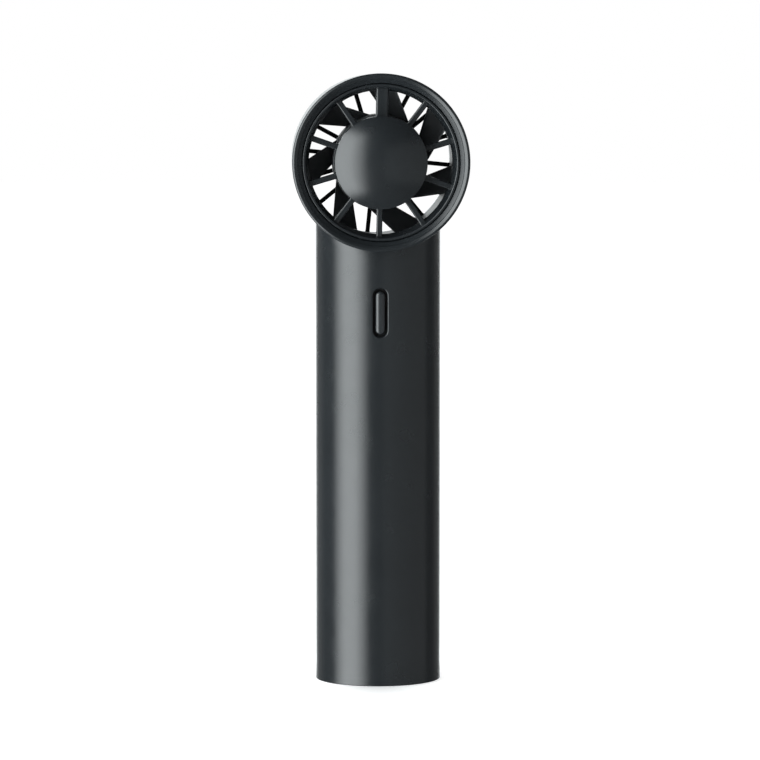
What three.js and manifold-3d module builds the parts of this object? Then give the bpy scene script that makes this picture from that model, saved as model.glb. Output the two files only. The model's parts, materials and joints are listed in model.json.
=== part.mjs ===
// A cordless hand-held turbo fan that stands upright on its own base.
//
// Millimetres, +Z up. The origin is the centre of the base, on the surface it stands on. The grille,
// the air outlet and the button face -Y. The head is a short duct whose axis runs along Y.

import * as THREE from 'three';
import { mergeVertices } from 'three/addons/utils/BufferGeometryUtils.js';
import Module from 'manifold-3d';

const wasm = await Module();
wasm.setup();

// ---------------------------------------------------------------------------------------------
// Driving dimensions
// ---------------------------------------------------------------------------------------------

const GAP = 0.3;                 // clearance between neighbouring pieces
const COARSE = 36;               // facets round a large turned piece
const FINE = 18;                 // facets round a small one
const TINY = 10;                 // facets round a screw or a pin
const THROUGH = 1;               // how far a cutting tool runs past what it cuts

const TUBE = {
  radius: 17.75,
  wall: 1.6,
  bottom: 0.2,                   // the rubber foot stands this much below the tube
  flare: 0.08,                   // how much the foot end widens
  flareHeight: 11,
  edge: 0.5,                     // rounding of the bottom edge
};

const HEAD = {
  axisHeight: 148.5,
  rimRadius: 24.9,
  shellFront: 24.8,              // outer radius of the shell at its front end
  shellRear: 24.1,
  bore: 23.25,                   // inside radius of the shell
  front: -26,                    // plane of the rim
  rear: 25.6,
  seam: -20.3,                   // where the shell meets the bezel
  rearEdge: 1.2,                 // rounding of the shell's rear edge
};

const DUCT = {
  radius: 21.6,
  wall: 0.55,
  front: -16.7,
  rear: 21.5,
};

const FRONT_GRILLE = {
  throat: 20.1,                  // narrowest radius of its bell mouth
  ringRadius: 21.8,
  ringFront: -22.6,
  ringRear: -17.4,
  ringLip: 0.3,                  // chamfer on the ring's outer front edge
  throatFront: -19.8,
  throatRear: -19,
  spokes: 10,
  turn: -1.3,                    // degrees that the grille is turned from upright
  spokeWidth: 1.65,
  wideSpokeWidth: 3.4,
  spokeFront: -22.2,
  spokeRear: -20.4,
  hubRadius: 12.95,
  hubBore: 12.2,
  hubFront: -25.7,
  hubRear: -17.8,
  floor: 1.2,
  floorBore: 4.1,
  leadChannel: 2.4,              // width of the channel behind the wide spoke
};

const DOME = {
  rise: 4.2,
  wall: 1.2,
  skirtRadius: 11.9,
  skirtWall: 0.7,
  skirtRear: -23.4,
};

const REAR_GRILLE = {
  spokes: 16,
  turn: -5.76,
  spokeWidth: 1.25,
  spokeDepth: 1.5,
  rear: 25.7,
  hubRadius: 11.5,
  hubThickness: 1.7,
  capSeat: 10.3,                 // radius of the recess that the cap sits in
  capRadius: 10,
  capDepth: 0.7,
  ringFront: 21.8,
  ringRadius: 22.9,
};

const IMPELLER = {
  blades: 7,
  hubRadius: 13.3,
  hubBore: 11.6,
  hubFront: -17.2,
  hubRear: -2.2,
  plateFront: -7.3,
  plateRear: -5.3,
  bladeFront: -9.5,
  bladeRear: -3.5,
  bladeRoot: 12.4,
  bladeTip: 21.1,
  bladeHalfThickness: 0.55,
  // Each blade's two long edges are straight. These are the angles of their ends about the axis.
  frontEdge: { root: 40.6, tip: 77.3 },
  rearEdge: { root: 78.3, tip: 99.4 },
};

const MOTOR = {
  shaftRadius: 1,
  shaft: [-20.2, -2.9],
  nutRadius: 2.6,
  nutRear: -3.2,
  bearingRadius: 2.5,
  bearings: { front: [-19.8, -17.3], rear: [-11.4, -9.1] },
  bellRadius: 11.3,
  bellWall: 0.8,
  bellFront: -17,
  bellRear: -7.6,
  bellPlate: 1,
  magnetThickness: 0.9,
  teeth: 6,
  statorBore: 4.1,
  statorHub: 5,
  toothRadius: 8.9,
  toothWidth: 1.6,
  coreFront: -15.5,
  coreRear: -10.5,
  coil: [5.6, 8.3],              // radii between which a tooth is wound
  coilThickness: 0.6,
  baseFront: -20.3,
  baseRear: -19.3,
  bearingTube: 3.8,              // outer radius of the tube that holds the bearings
  bearingTubeRear: -8.9,
  screwCircle: 8,
  screwHole: 1,
  boardFront: -22.6,
  boardThickness: 1,
  boardBore: 2,
};

const BUTTON = {
  height: 106,                   // its centre above the base
  halfWidth: 1.3,
  halfLength: 6.05,
  slotHalfWidth: 2,
  slotHalfLength: 6.9,
  proud: 0.4,
  crown: 0.4,                    // height of the step round its pressing face
  step: 0.35,                    // width of that step
};

const CELL = { radius: 9.15, length: 65, bottom: 26.6, y: 2 };
const TAB = { halfWidth: 2.5, reach: 8.6, tail: 4, thickness: 0.3 };
const PAD = { radius: 8.5, thickness: 0.9 };
const BOARD = { halfWidth: 10.5, front: -9.6, thickness: 1.2, bottom: 28, top: 112 };
const SOCKET = { halfWidth: 4.45, halfHeight: 1.6, wall: 0.35, mouth: 16.4, depth: 6.6, height: 13.7 };
const TONGUE = {
  halfWidth: 3.3,
  halfHeight: 0.35,
  rootHalfWidth: 3.7,
  rootHalfHeight: 0.9,
  root: 1.6,                     // length of its thick root
  set: 0.8,                      // how far its tip lies inside the mouth
};
const CHARGE_BOARD = { halfWidth: 5.3, front: -2, rear: 13.5, thickness: 1 };
const NECK = {
  bottom: 115,
  floor: 1.6,
  wall: 1.4,
  screwX: 8,
  screwY: 6,
  bossRadius: 2.3,
  bossTop: 122,
  leadHoleRadius: 3,
  leadHoleY: -10,
};
const SCREW = { hole: 1.1, headHole: 1.9, head: 1.6, shank: 0.8 };
const LEAD_RADIUS = 0.25;

const tubeBore = TUBE.radius - TUBE.wall;
const neckRadius = tubeBore - GAP;
const shaftHole = MOTOR.shaftRadius + GAP;
const spokeStep = 360 / FRONT_GRILLE.spokes;
const wideSpokeAngle = 90 + FRONT_GRILLE.turn;

// ---------------------------------------------------------------------------------------------
// Geometry helpers
// ---------------------------------------------------------------------------------------------

const rad = THREE.MathUtils.degToRad;

// A closed geometry as a solid that can be joined and cut.
function toSolid(geometry) {
  const bare = geometry.index ? geometry.toNonIndexed() : geometry.clone();
  bare.deleteAttribute('normal');
  bare.deleteAttribute('uv');
  const merged = mergeVertices(bare, 1e-4);
  const corners = merged.index.array;
  const kept = [];
  for (let i = 0; i < corners.length; i += 3) {
    const [a, b, c] = [corners[i], corners[i + 1], corners[i + 2]];
    if (a !== b && b !== c && c !== a) kept.push(a, b, c);
  }
  return new wasm.Manifold(new wasm.Mesh({
    numProp: 3,
    vertProperties: new Float32Array(merged.attributes.position.array),
    triVerts: new Uint32Array(kept),
  }));
}

function toGeometry(solid) {
  const mesh = solid.getMesh();
  const geometry = new THREE.BufferGeometry();
  geometry.setAttribute('position', new THREE.BufferAttribute(mesh.vertProperties, 3));
  geometry.setIndex(new THREE.BufferAttribute(mesh.triVerts, 1));
  return geometry;
}

function join(...geometries) {
  return toGeometry(geometries.map(toSolid).reduce((whole, piece) => whole.add(piece)));
}

function cut(geometry, ...tools) {
  return toGeometry(tools.map(toSolid).reduce((rest, tool) => rest.subtract(tool), toSolid(geometry)));
}

// Points on an arc in a profile plane, from one angle to another in degrees.
function arc(x, y, radius, from, to, steps) {
  return Array.from({ length: steps + 1 }, (_, i) => {
    const angle = rad(from + (to - from) * i / steps);
    return [x + radius * Math.cos(angle), y + radius * Math.sin(angle)];
  });
}

// Turns a closed profile of [radius, height] points about the Y axis.
function turned(profile, facets = COARSE) {
  const loop = [...profile, profile[0]];
  let area = 0;
  for (let i = 0; i < profile.length; i += 1) {
    area += loop[i][0] * loop[i + 1][1] - loop[i + 1][0] * loop[i][1];
  }
  if (area < 0) loop.reverse();
  return new THREE.LatheGeometry(loop.map(([x, y]) => new THREE.Vector2(x, y)), facets);
}

// A ring or a disc between two heights on the Y axis.
function ring(inner, outer, low, high, facets = COARSE) {
  return turned([[inner, low], [outer, low], [outer, high], [inner, high]], facets);
}

// Stands a piece that was turned about Y upright on Z.
function upright(geometry) {
  return geometry.rotateX(Math.PI / 2);
}

function box(x, y, z) {
  const [low, high] = [0, 1].map((i) => new THREE.Vector3(x[i], y[i], z[i]));
  const size = high.clone().sub(low);
  const centre = low.add(high).multiplyScalar(0.5);
  return new THREE.BoxGeometry(size.x, size.y, size.z).translate(centre.x, centre.y, centre.z);
}

// An outline with two straight sides and two round ends. The longer half size sets its direction.
function pill(halfX, halfY) {
  const radius = Math.min(halfX, halfY);
  const [dx, dy] = [halfX - radius, halfY - radius];
  const start = dx > 0 ? -90 : 0;
  const shape = new THREE.Shape();
  shape.absarc(dx, dy, radius, rad(start), rad(start + 180), false);
  shape.absarc(-dx, -dy, radius, rad(start + 180), rad(start + 360), false);
  return shape;
}

function withHole(shape, hole) {
  shape.holes.push(new THREE.Path(hole.getPoints(6)));
  return shape;
}

// Extrudes an outline upwards from one height to another.
function raised(shape, low, high, curveSegments) {
  return new THREE.ExtrudeGeometry(shape, { depth: high - low, bevelEnabled: false, curveSegments })
    .translate(0, 0, low);
}

// Extrudes an outline drawn in X and Z along Y, from front to rear.
function frontal(shape, front, rear, curveSegments = 6) {
  return new THREE.ExtrudeGeometry(shape, { depth: rear - front, bevelEnabled: false, curveSegments })
    .rotateX(Math.PI / 2)
    .translate(0, rear, 0);
}

// Turns a geometry about the head's axis by an angle seen from the front, anticlockwise.
function aroundAxis(geometry, degrees) {
  return geometry.rotateY(-rad(degrees));
}

// A bar along a radius of the head, between two radii.
function spoke(angle, width, inner, outer, front, rear) {
  return aroundAxis(box([inner, outer], [front, rear], [-width / 2, width / 2]), angle);
}

// A point in the head's frame: distance from the axis, angle seen from the front, and depth.
function polar(radius, degrees, y) {
  return new THREE.Vector3(radius * Math.cos(rad(degrees)), y, radius * Math.sin(rad(degrees)));
}

// A round lead along a smooth route.
function lead(points, steps) {
  const section = new THREE.Shape();
  section.absarc(0, 0, LEAD_RADIUS, 0, 2 * Math.PI, false);
  return new THREE.ExtrudeGeometry(section, {
    steps,
    curveSegments: 2,
    bevelEnabled: false,
    extrudePath: new THREE.CatmullRomCurve3(points, false, 'centripetal'),
  });
}

// A cap screw along +Y: its head ends at 0, where its shank begins.
function screw(headRadius, headHeight, shankRadius, length) {
  return turned([
    [0, -headHeight], [headRadius, -headHeight], [headRadius, 0],
    [shankRadius, 0], [shankRadius, length], [0, length],
  ], TINY);
}

// ---------------------------------------------------------------------------------------------
// Finishes and the scene graph
// ---------------------------------------------------------------------------------------------

function finish(color, roughness, metalness = 0) {
  return { color, roughness, metalness };
}

const SATIN_BLACK = finish(0x26292b, 0.42);
const GLOSS_BLACK = finish(0x1b1d1f, 0.25);
const DUCT_BLACK = finish(0x303335, 0.45);
const INNER_BLACK = finish(0x1e2022, 0.6);
const RUBBER = finish(0x151515, 0.85);
const FOAM = finish(0x3a3a3a, 0.95);
const STEEL = finish(0x9a9c9f, 0.35, 1);
const NICKEL = finish(0xb9b7b0, 0.3, 1);
const IRON = finish(0x4a4d52, 0.5, 1);
const MAGNET = finish(0x2c2c2e, 0.55, 0.6);
const COPPER = finish(0xb0643a, 0.35, 1);
const CIRCUIT = finish(0x1d4a33, 0.45);
const CHIP = finish(0x111214, 0.5);
const WRAP = finish(0x2f5f8a, 0.35);
const RED = finish(0x9c2222, 0.5);
const BLACK = finish(0x141414, 0.5);

const fan = new THREE.Group();
const head = new THREE.Group();
head.position.z = HEAD.axisHeight;
fan.add(head);

function place(group, name, look, geometry) {
  const mesh = new THREE.Mesh(geometry, new THREE.MeshStandardMaterial(look));
  mesh.name = name;
  group.add(mesh);
  return mesh;
}

// ---------------------------------------------------------------------------------------------
// Grip tube and base
// ---------------------------------------------------------------------------------------------

// The head shell's outside as a solid, a little larger or smaller, to cut what it meets.
function shellEnvelope(offset) {
  return turned([
    [0, HEAD.front], [HEAD.shellFront + offset, HEAD.front],
    [HEAD.shellRear + offset, HEAD.rear], [0, HEAD.rear],
  ]);
}

function gripTube() {
  const bottom = TUBE.bottom;
  const foot = TUBE.radius + TUBE.flare;
  const outside = [
    [tubeBore, bottom],
    ...arc(foot - TUBE.edge, bottom + TUBE.edge, TUBE.edge, -90, 0, 3),
    [TUBE.radius, bottom + TUBE.flareHeight],
    [TUBE.radius, HEAD.axisHeight],
    [tubeBore, HEAD.axisHeight],
  ];
  const saddle = shellEnvelope(GAP).translate(0, 0, HEAD.axisHeight);
  const outer = foot + THROUGH;
  const inner = SOCKET.mouth - SOCKET.depth;     // far enough in for the curve of the tube
  const buttonSlot = frontal(pill(BUTTON.slotHalfWidth, BUTTON.slotHalfLength), -outer, -inner)
    .translate(0, 0, BUTTON.height);
  const socketHole = frontal(pill(SOCKET.halfWidth + GAP, SOCKET.halfHeight + GAP), inner, outer)
    .translate(0, 0, SOCKET.height);
  return cut(upright(turned(outside)), saddle, buttonSlot, socketHole);
}

const BASE = {
  underside: 0.4,
  pocket: 1.5,                   // height of the recess that the foot pad sits in
  plate: 4,
  rim: 8,
  rimWall: 1.8,
  padRadius: 13.5,
  padTop: 1.2,
  padEdge: 0.3,
  screwX: 8,
  counterbore: 2.9,
  postX: 3,                      // the two posts under the charging board
  postY: 8,
  postRadius: 1.5,
  postTop: 10.5,
};

function baseCap() {
  const radius = neckRadius;
  const body = upright(turned([
    [0, BASE.pocket], [BASE.padRadius + GAP, BASE.pocket], [BASE.padRadius + GAP, BASE.underside],
    [radius, BASE.underside], [radius, BASE.rim], [radius - BASE.rimWall, BASE.rim],
    [radius - BASE.rimWall, BASE.plate], [0, BASE.plate],
  ]));
  const posts = [-BASE.postX, BASE.postX].map((x) => upright(
    ring(0, BASE.postRadius, BASE.plate - THROUGH, BASE.postTop, TINY),
  ).translate(x, BASE.postY, 0));
  const holes = [-BASE.screwX, BASE.screwX].flatMap((x) => [
    upright(ring(0, SCREW.hole, 0, BASE.rim, TINY)).translate(x, 0, 0),
    upright(ring(0, SCREW.headHole, 0, BASE.counterbore, TINY)).translate(x, 0, 0),
  ]);
  return cut(join(body, ...posts), ...holes);
}

function buildGrip() {
  place(fan, 'grip_tube', SATIN_BLACK, gripTube());
  place(fan, 'base_cap', INNER_BLACK, baseCap());
  place(fan, 'foot_pad', RUBBER, upright(turned([
    [0, 0], [BASE.padRadius - BASE.padEdge, 0], [BASE.padRadius, BASE.padEdge],
    [BASE.padRadius, BASE.padTop], [0, BASE.padTop],
  ])));
  [-BASE.screwX, BASE.screwX].forEach((x, i) => {
    const mesh = place(fan, `base_screw_${i + 1}`, STEEL, upright(screw(SCREW.head, 1, SCREW.shank, 6)));
    mesh.position.set(x, 0, BASE.counterbore - GAP);
  });
}

// ---------------------------------------------------------------------------------------------
// Chassis, battery and electronics inside the grip
// ---------------------------------------------------------------------------------------------

const CHASSIS = {
  radius: 15.5,
  wall: 1.3,
  wrap: 10,                      // degrees by which its wall passes the half circle at each side
  bottom: 20,
  top: 112,
  shelfFront: -7.6,
  lowerShelf: [23, 24.5],
  upperShelf: [93.7, 95.2],
  topPlate: [110.3, 112],
  bossRadius: 2.2,
  bossBottom: 4.3,
  bossHoleTop: 10.3,
};

// A disc with its front cut off along a straight edge.
function shelf(low, high) {
  const radius = CHASSIS.radius - CHASSIS.wall / 2;
  const edge = Math.asin(CHASSIS.shelfFront / radius);
  const shape = new THREE.Shape();
  shape.absarc(0, 0, radius, edge, Math.PI - edge, false);
  return raised(shape, low, high, 9);
}

function chassis() {
  const inner = CHASSIS.radius - CHASSIS.wall;
  const wall = new THREE.Shape();
  const [right, left] = [rad(-CHASSIS.wrap), rad(180 + CHASSIS.wrap)];
  wall.absarc(0, 0, CHASSIS.radius, right, left, false);
  wall.absarc(0, 0, inner, left, right, true);
  const bosses = [-BASE.screwX, BASE.screwX].map((x) => upright(
    ring(0, CHASSIS.bossRadius, CHASSIS.bossBottom, CHASSIS.lowerShelf[1], TINY),
  ).translate(x, 0, 0));
  const baseHoles = [-BASE.screwX, BASE.screwX].map((x) => upright(
    ring(0, SCREW.hole, 0, CHASSIS.bossHoleTop, TINY),
  ).translate(x, 0, 0));
  const neckHoles = [-NECK.screwX, NECK.screwX].map((x) => upright(
    ring(0, SCREW.hole, CHASSIS.topPlate[0] - THROUGH, CHASSIS.topPlate[1] + THROUGH, TINY),
  ).translate(x, NECK.screwY, 0));
  const body = join(
    raised(wall, CHASSIS.bottom, CHASSIS.top, 9),
    shelf(...CHASSIS.lowerShelf),
    shelf(...CHASSIS.upperShelf),
    shelf(...CHASSIS.topPlate),
    ...bosses,
  );
  return cut(body, ...baseHoles, ...neckHoles);
}

// A nickel strip across one end of the cell, pointing at the corner where its lead starts.
function tab(low, direction) {
  return box([-TAB.halfWidth, TAB.halfWidth], [-TAB.reach, TAB.tail], [low, low + TAB.thickness])
    .rotateZ(rad(direction))
    .translate(0, CELL.y, 0);
}

function buildBattery() {
  const cellTop = CELL.bottom + CELL.length;
  place(fan, 'chassis', INNER_BLACK, chassis());
  place(fan, 'battery_cell', WRAP, upright(turned([
    [0, CELL.bottom], [CELL.radius, CELL.bottom], [CELL.radius, cellTop], [0, cellTop],
  ])).translate(0, CELL.y, 0));
  const topTab = cellTop + GAP;
  const bottomTab = CELL.bottom - GAP - TAB.thickness;
  place(fan, 'battery_tab_top', NICKEL, tab(topTab, 45));
  place(fan, 'battery_tab_bottom', NICKEL, tab(bottomTab, -45));
  const pads = [
    ['battery_pad_top', topTab + TAB.thickness + GAP],
    ['battery_pad_bottom', bottomTab - GAP - PAD.thickness],
  ];
  pads.forEach(([name, low]) => {
    const pad = upright(ring(0, PAD.radius, low, low + PAD.thickness, FINE));
    place(fan, name, FOAM, pad.translate(0, CELL.y, 0));
  });
}

function buildElectronics() {
  const rear = BOARD.front + BOARD.thickness;
  place(fan, 'main_board', CIRCUIT, box(
    [-BOARD.halfWidth, BOARD.halfWidth], [BOARD.front, rear], [BOARD.bottom, BOARD.top],
  ));
  // Both stand on the rear of the board, above the cell.
  const seat = rear + GAP;
  place(fan, 'controller_chip', CHIP, box([-3, 3], [seat, seat + 1], [98, 104]));
  place(fan, 'inductor', IRON, box([4.5, 9], [seat, seat + 2.4], [98, 102.5]));

  const socketFront = SOCKET.mouth - SOCKET.depth;
  const bore = pill(SOCKET.halfWidth - SOCKET.wall, SOCKET.halfHeight - SOCKET.wall);
  const shell = withHole(pill(SOCKET.halfWidth, SOCKET.halfHeight), bore);
  place(fan, 'charging_socket', STEEL, frontal(shell, socketFront, SOCKET.mouth))
    .position.z = SOCKET.height;
  place(fan, 'socket_tongue', CHIP, join(
    box(
      [-TONGUE.rootHalfWidth, TONGUE.rootHalfWidth], [socketFront, socketFront + TONGUE.root],
      [-TONGUE.rootHalfHeight, TONGUE.rootHalfHeight],
    ),
    box(
      [-TONGUE.halfWidth, TONGUE.halfWidth], [socketFront + TONGUE.root / 2, SOCKET.mouth - TONGUE.set],
      [-TONGUE.halfHeight, TONGUE.halfHeight],
    ),
  )).position.z = SOCKET.height;
  const boardTop = SOCKET.height - SOCKET.halfHeight - GAP;
  place(fan, 'charge_board', CIRCUIT, box(
    [-CHARGE_BOARD.halfWidth, CHARGE_BOARD.halfWidth], [CHARGE_BOARD.front, CHARGE_BOARD.rear],
    [boardTop - CHARGE_BOARD.thickness, boardTop],
  ));
}

// ---------------------------------------------------------------------------------------------
// Button and switch
// ---------------------------------------------------------------------------------------------

const SWITCH = {
  halfSide: 3,
  front: -12,
  rear: BOARD.front - GAP,
  plungerRadius: 1.2,
  plungerFront: -13,
  plungerRear: -11,
  boreRear: -10.6,
};

const GUIDE = { halfWidth: 4.6, halfLength: 8.6, front: -14.9, plate: 0.7, wall: 0.8 };
const FLANGE = { halfWidth: 3, halfLength: 7.2, front: -13.9, rear: -13.35 };

function buttonCap() {
  const front = -(TUBE.radius + BUTTON.proud);
  const shoulder = front + BUTTON.crown;
  const { halfWidth, halfLength, step } = BUTTON;
  return join(
    frontal(pill(halfWidth, halfLength), shoulder, (FLANGE.front + FLANGE.rear) / 2),
    frontal(pill(halfWidth - step, halfLength - step), front, shoulder + BUTTON.crown),
    frontal(pill(FLANGE.halfWidth, FLANGE.halfLength), FLANGE.front, FLANGE.rear),
  );
}

function buttonGuide() {
  const hood = box([-GUIDE.halfWidth, GUIDE.halfWidth], [GUIDE.front, BOARD.front - GAP],
    [-GUIDE.halfLength, GUIDE.halfLength]);
  const inside = box(
    [-GUIDE.halfWidth + GUIDE.wall, GUIDE.halfWidth - GUIDE.wall],
    [GUIDE.front + GUIDE.plate, BOARD.front],
    [-GUIDE.halfLength + GUIDE.wall, GUIDE.halfLength - GUIDE.wall],
  );
  const slot = frontal(
    pill(BUTTON.halfWidth + GAP, BUTTON.halfLength + GAP),
    GUIDE.front - THROUGH, GUIDE.front + GUIDE.plate + THROUGH,
  );
  return cut(hood, inside, slot);
}

function buildButton() {
  const body = box([-SWITCH.halfSide, SWITCH.halfSide], [SWITCH.front, SWITCH.rear],
    [-SWITCH.halfSide, SWITCH.halfSide]);
  const bore = ring(0, SWITCH.plungerRadius + GAP, SWITCH.front - THROUGH, SWITCH.boreRear, TINY);
  const pieces = [
    ['power_button', GLOSS_BLACK, buttonCap()],
    ['button_guide', INNER_BLACK, buttonGuide()],
    ['switch_body', CHIP, cut(body, bore)],
    ['switch_plunger', CHIP, ring(0, SWITCH.plungerRadius, SWITCH.plungerFront, SWITCH.plungerRear, TINY)],
  ];
  pieces.forEach(([name, look, geometry]) => {
    place(fan, name, look, geometry).position.z = BUTTON.height;
  });
}

// ---------------------------------------------------------------------------------------------
// Head: shell, bezel, grilles, dome and duct
// ---------------------------------------------------------------------------------------------

const LEADS = { shelfY: -12.6, spacing: 1.4, orbit: 22.7, holeRadius: 2.2, channelY: -20.95 };
const leadHoleY = LEADS.shelfY + LEADS.spacing / 2;

function headShell() {
  const edge = HEAD.rearEdge;
  const rearCorner = HEAD.shellRear - edge;
  const barrel = turned([
    [HEAD.bore, HEAD.seam], [HEAD.shellFront, HEAD.seam],
    ...arc(rearCorner, HEAD.rear - edge, edge, 0, 60, 3),
    [HEAD.bore, HEAD.rear],
  ]);
  const drop = -HEAD.axisHeight;
  const neck = upright(ring(neckRadius - NECK.wall, neckRadius, NECK.bottom, HEAD.axisHeight));
  const floor = upright(ring(0, neckRadius - NECK.wall / 2, NECK.bottom, NECK.bottom + NECK.floor));
  const bosses = [-NECK.screwX, NECK.screwX].map((x) => upright(
    ring(0, NECK.bossRadius, NECK.bottom, NECK.bossTop, TINY),
  ).translate(x, NECK.screwY, 0));
  const socket = join(neck, floor, ...bosses).translate(0, 0, drop);
  const airway = ring(0, HEAD.bore, HEAD.front, HEAD.rear);
  const screwHoles = [-NECK.screwX, NECK.screwX].map((x) => upright(
    ring(0, SCREW.hole, NECK.bottom - THROUGH, NECK.bossTop - NECK.floor, TINY),
  ).translate(x, NECK.screwY, drop));
  const leadHoles = [
    upright(ring(0, LEADS.holeRadius, -HEAD.rimRadius - THROUGH, -HEAD.bore + THROUGH, TINY))
      .translate(0, leadHoleY, 0),
    upright(ring(0, NECK.leadHoleRadius, NECK.bottom - THROUGH, NECK.bottom + NECK.floor + THROUGH, TINY))
      .translate(0, NECK.leadHoleY, drop),
  ];
  return cut(join(barrel, cut(socket, airway)), ...screwHoles, ...leadHoles);
}

function frontBezel() {
  const spigot = [FRONT_GRILLE.ringRadius + GAP, HEAD.bore - GAP];
  const shoulder = HEAD.seam - GAP;
  const spigotRear = DUCT.front - GAP;
  const edge = 0.65;
  const rim = HEAD.rimRadius;
  const body = turned([
    [spigot[1], spigotRear], [spigot[1], shoulder], [rim - 0.05, shoulder],
    ...arc(rim - edge, HEAD.front + edge, edge, 0, -90, 4),
    [rim - 1.55, HEAD.front + 0.55],             // first bevel
    [rim - 2.5, HEAD.front + 1.4],               // second, steeper bevel
    [spigot[0] - GAP, FRONT_GRILLE.ringFront - GAP],
    [spigot[0], FRONT_GRILLE.ringFront - GAP],
    [spigot[0], spigotRear],
  ]);
  const leadNotch = spoke(
    wideSpokeAngle, FRONT_GRILLE.wideSpokeWidth, FRONT_GRILLE.ringRadius - GAP, HEAD.bore,
    LEADS.channelY - 1.5 * GAP, spigotRear + THROUGH,
  );
  return cut(body, leadNotch);
}

function frontGrille() {
  const g = FRONT_GRILLE;
  const bellMouth = turned([
    [g.ringRadius, g.ringRear], [g.ringRadius, g.ringFront + g.ringLip],
    [g.ringRadius - g.ringLip, g.ringFront], [g.ringRadius - 2 * g.ringLip, g.ringFront + g.ringLip / 3],
    [g.throat, g.throatFront], [g.throat, g.throatRear], [DUCT.radius - GAP, g.ringRear],
  ]);
  const floorFront = g.hubRear - g.floor;
  const hub = turned([
    [g.floorBore, floorFront], [g.hubBore, floorFront], [g.hubBore, g.hubFront],
    [g.hubRadius, g.hubFront], [g.hubRadius, g.hubRear], [g.floorBore, g.hubRear],
  ]);
  const spokes = Array.from({ length: g.spokes }, (_, i) => {
    const width = i === 0 ? g.wideSpokeWidth : g.spokeWidth;
    const angle = wideSpokeAngle + i * spokeStep;
    return spoke(angle, width, (g.hubBore + g.hubRadius) / 2, g.ringRadius - 0.5, g.spokeFront, g.spokeRear);
  });
  const channelFront = g.spokeFront + 0.6;       // leaves the wide spoke's face this thick
  const leadChannel = spoke(
    wideSpokeAngle, g.leadChannel, g.hubBore - THROUGH, g.ringRadius, channelFront, g.spokeRear + THROUGH,
  );
  const ringNotch = spoke(
    wideSpokeAngle, g.leadChannel, g.throat - THROUGH, g.ringRadius + THROUGH,
    channelFront, g.ringRear + THROUGH,
  );
  const screwHoles = motorScrewPlaces().map(([x, z]) => ring(
    0, MOTOR.screwHole, floorFront - THROUGH, g.hubRear + THROUGH, TINY,
  ).translate(x, 0, z));
  return cut(join(bellMouth, hub, ...spokes), leadChannel, ringNotch, ...screwHoles);
}

function hubDome() {
  const edge = FRONT_GRILLE.hubRadius;
  const sphere = (edge ** 2 + DOME.rise ** 2) / (2 * DOME.rise);
  const centre = HEAD.front - DOME.rise + sphere;
  const half = THREE.MathUtils.radToDeg(Math.asin(edge / sphere));
  const skirtInner = DOME.skirtRadius - DOME.skirtWall;
  const insideRadius = sphere - DOME.wall;
  const insideHalf = THREE.MathUtils.radToDeg(Math.asin(skirtInner / insideRadius));
  return turned([
    ...arc(0, centre, sphere, -90, -90 + half, 5),
    [DOME.skirtRadius, HEAD.front],
    [DOME.skirtRadius, DOME.skirtRear],
    [skirtInner, DOME.skirtRear],
    ...arc(0, centre, insideRadius, -90 + insideHalf, -90, 3),
  ]);
}

function rearGrille() {
  const g = REAR_GRILLE;
  const outer = ring(DUCT.radius, g.ringRadius, g.ringFront, g.rear);
  const hub = turned([
    [0, g.rear - g.hubThickness], [g.hubRadius, g.rear - g.hubThickness], [g.hubRadius, g.rear],
    [g.capSeat, g.rear], [g.capSeat, g.rear - g.capDepth], [0, g.rear - g.capDepth],
  ]);
  const spokes = Array.from({ length: g.spokes }, (_, i) => spoke(
    90 + g.turn + i * 360 / g.spokes, g.spokeWidth, g.hubRadius - 0.5, DUCT.radius + 0.5,
    g.rear - g.spokeDepth, g.rear,
  ));
  return join(outer, hub, ...spokes);
}

// ---------------------------------------------------------------------------------------------
// Impeller and motor
// ---------------------------------------------------------------------------------------------

// Angle, at a radius, of the straight line between a blade edge's root and its tip.
function angleOnEdge(edge, radius) {
  const root = polar(IMPELLER.bladeRoot, edge.root, 0);
  const along = polar(IMPELLER.bladeTip, edge.tip, 0).sub(root);
  const a = along.dot(along);
  const b = root.dot(along);
  const c = root.dot(root) - radius ** 2;
  const point = root.addScaledVector(along, (-b + Math.sqrt(b * b - a * c)) / a);
  return THREE.MathUtils.radToDeg(Math.atan2(point.z, point.x));
}

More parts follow.
